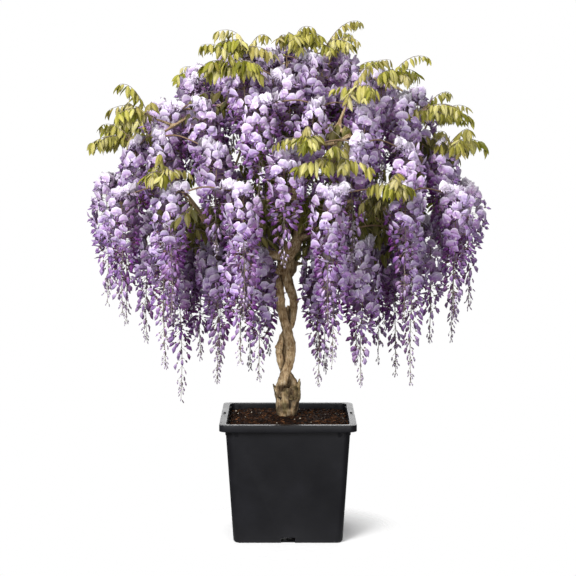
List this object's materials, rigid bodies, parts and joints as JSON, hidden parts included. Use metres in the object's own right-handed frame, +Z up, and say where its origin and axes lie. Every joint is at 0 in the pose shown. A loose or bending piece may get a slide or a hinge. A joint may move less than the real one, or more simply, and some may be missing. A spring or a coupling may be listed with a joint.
{
  "type": "potted wisteria",
  "caption": "Wisteria grown as a small tree on two twisted stems, with hanging racemes and young leafy shoots, in a square pot of compost; stands on a level surface.",
  "frame": {"origin": "middle of the pot's flat base, on the surface that it stands on", "axes": "+Z up along the trunk; +X to the viewer's right and -Y towards the viewer, square to the pot's sides"},
  "size_m": [0.8275, 0.8337, 1.0541],
  "materials": {
    "pot_plastic": "moulded matte black with a soft sheen",
    "compost": "loose dark bark compost with white grit",
    "bark": "rough tan-brown bark, darker and smoother on the twigs",
    "petals": "soft matte petals, pale lilac with violet wings",
    "leaf": "thin soft leaves, lime green with bronze tips"
  },
  "bodies": {
    "root": {"pot": "pot_plastic", "soil": "compost", "trunk": "bark", "raceme_spray_01": "petals", "raceme_spray_02": "petals", "raceme_spray_03": "petals", "raceme_spray_04": "petals", "raceme_spray_05": "petals", "raceme_spray_06": "petals", "raceme_spray_07": "petals", "raceme_spray_08": "petals", "raceme_spray_09": "petals", "raceme_spray_10": "petals", "raceme_spray_11": "petals", "raceme_spray_12": "petals", "raceme_spray_13": "petals", "raceme_spray_14": "petals", "raceme_spray_15": "petals", "raceme_spray_16": "petals", "raceme_spray_17": "petals", "raceme_spray_18": "petals", "raceme_spray_19": "petals", "raceme_spray_20": "petals", "raceme_spray_21": "petals", "raceme_spray_22": "petals", "raceme_spray_23": "petals", "raceme_spray_24": "petals", "raceme_spray_25": "petals", "raceme_spray_26": "petals", "raceme_spray_27": "petals", "raceme_spray_28": "petals", "raceme_spray_29": "petals", "raceme_spray_30": "petals", "raceme_spray_31": "petals", "raceme_spray_32": "petals", "leafy_shoot_01": "leaf", "leafy_shoot_02": "leaf", "leafy_shoot_03": "leaf", "leafy_shoot_04": "leaf", "leafy_shoot_05": "leaf", "leafy_shoot_06": "leaf", "leafy_shoot_07": "leaf", "leafy_shoot_08": "leaf", "leafy_shoot_09": "leaf", "leafy_shoot_10": "leaf", "leafy_shoot_11": "leaf", "leafy_shoot_12": "leaf", "leafy_shoot_13": "leaf", "leafy_shoot_14": "leaf", "leafy_shoot_15": "leaf", "leafy_shoot_16": "leaf", "leafy_shoot_17": "leaf", "leafy_shoot_18": "leaf", "leafy_shoot_19": "leaf", "leafy_shoot_20": "leaf"}
  },
  "joints": []
}
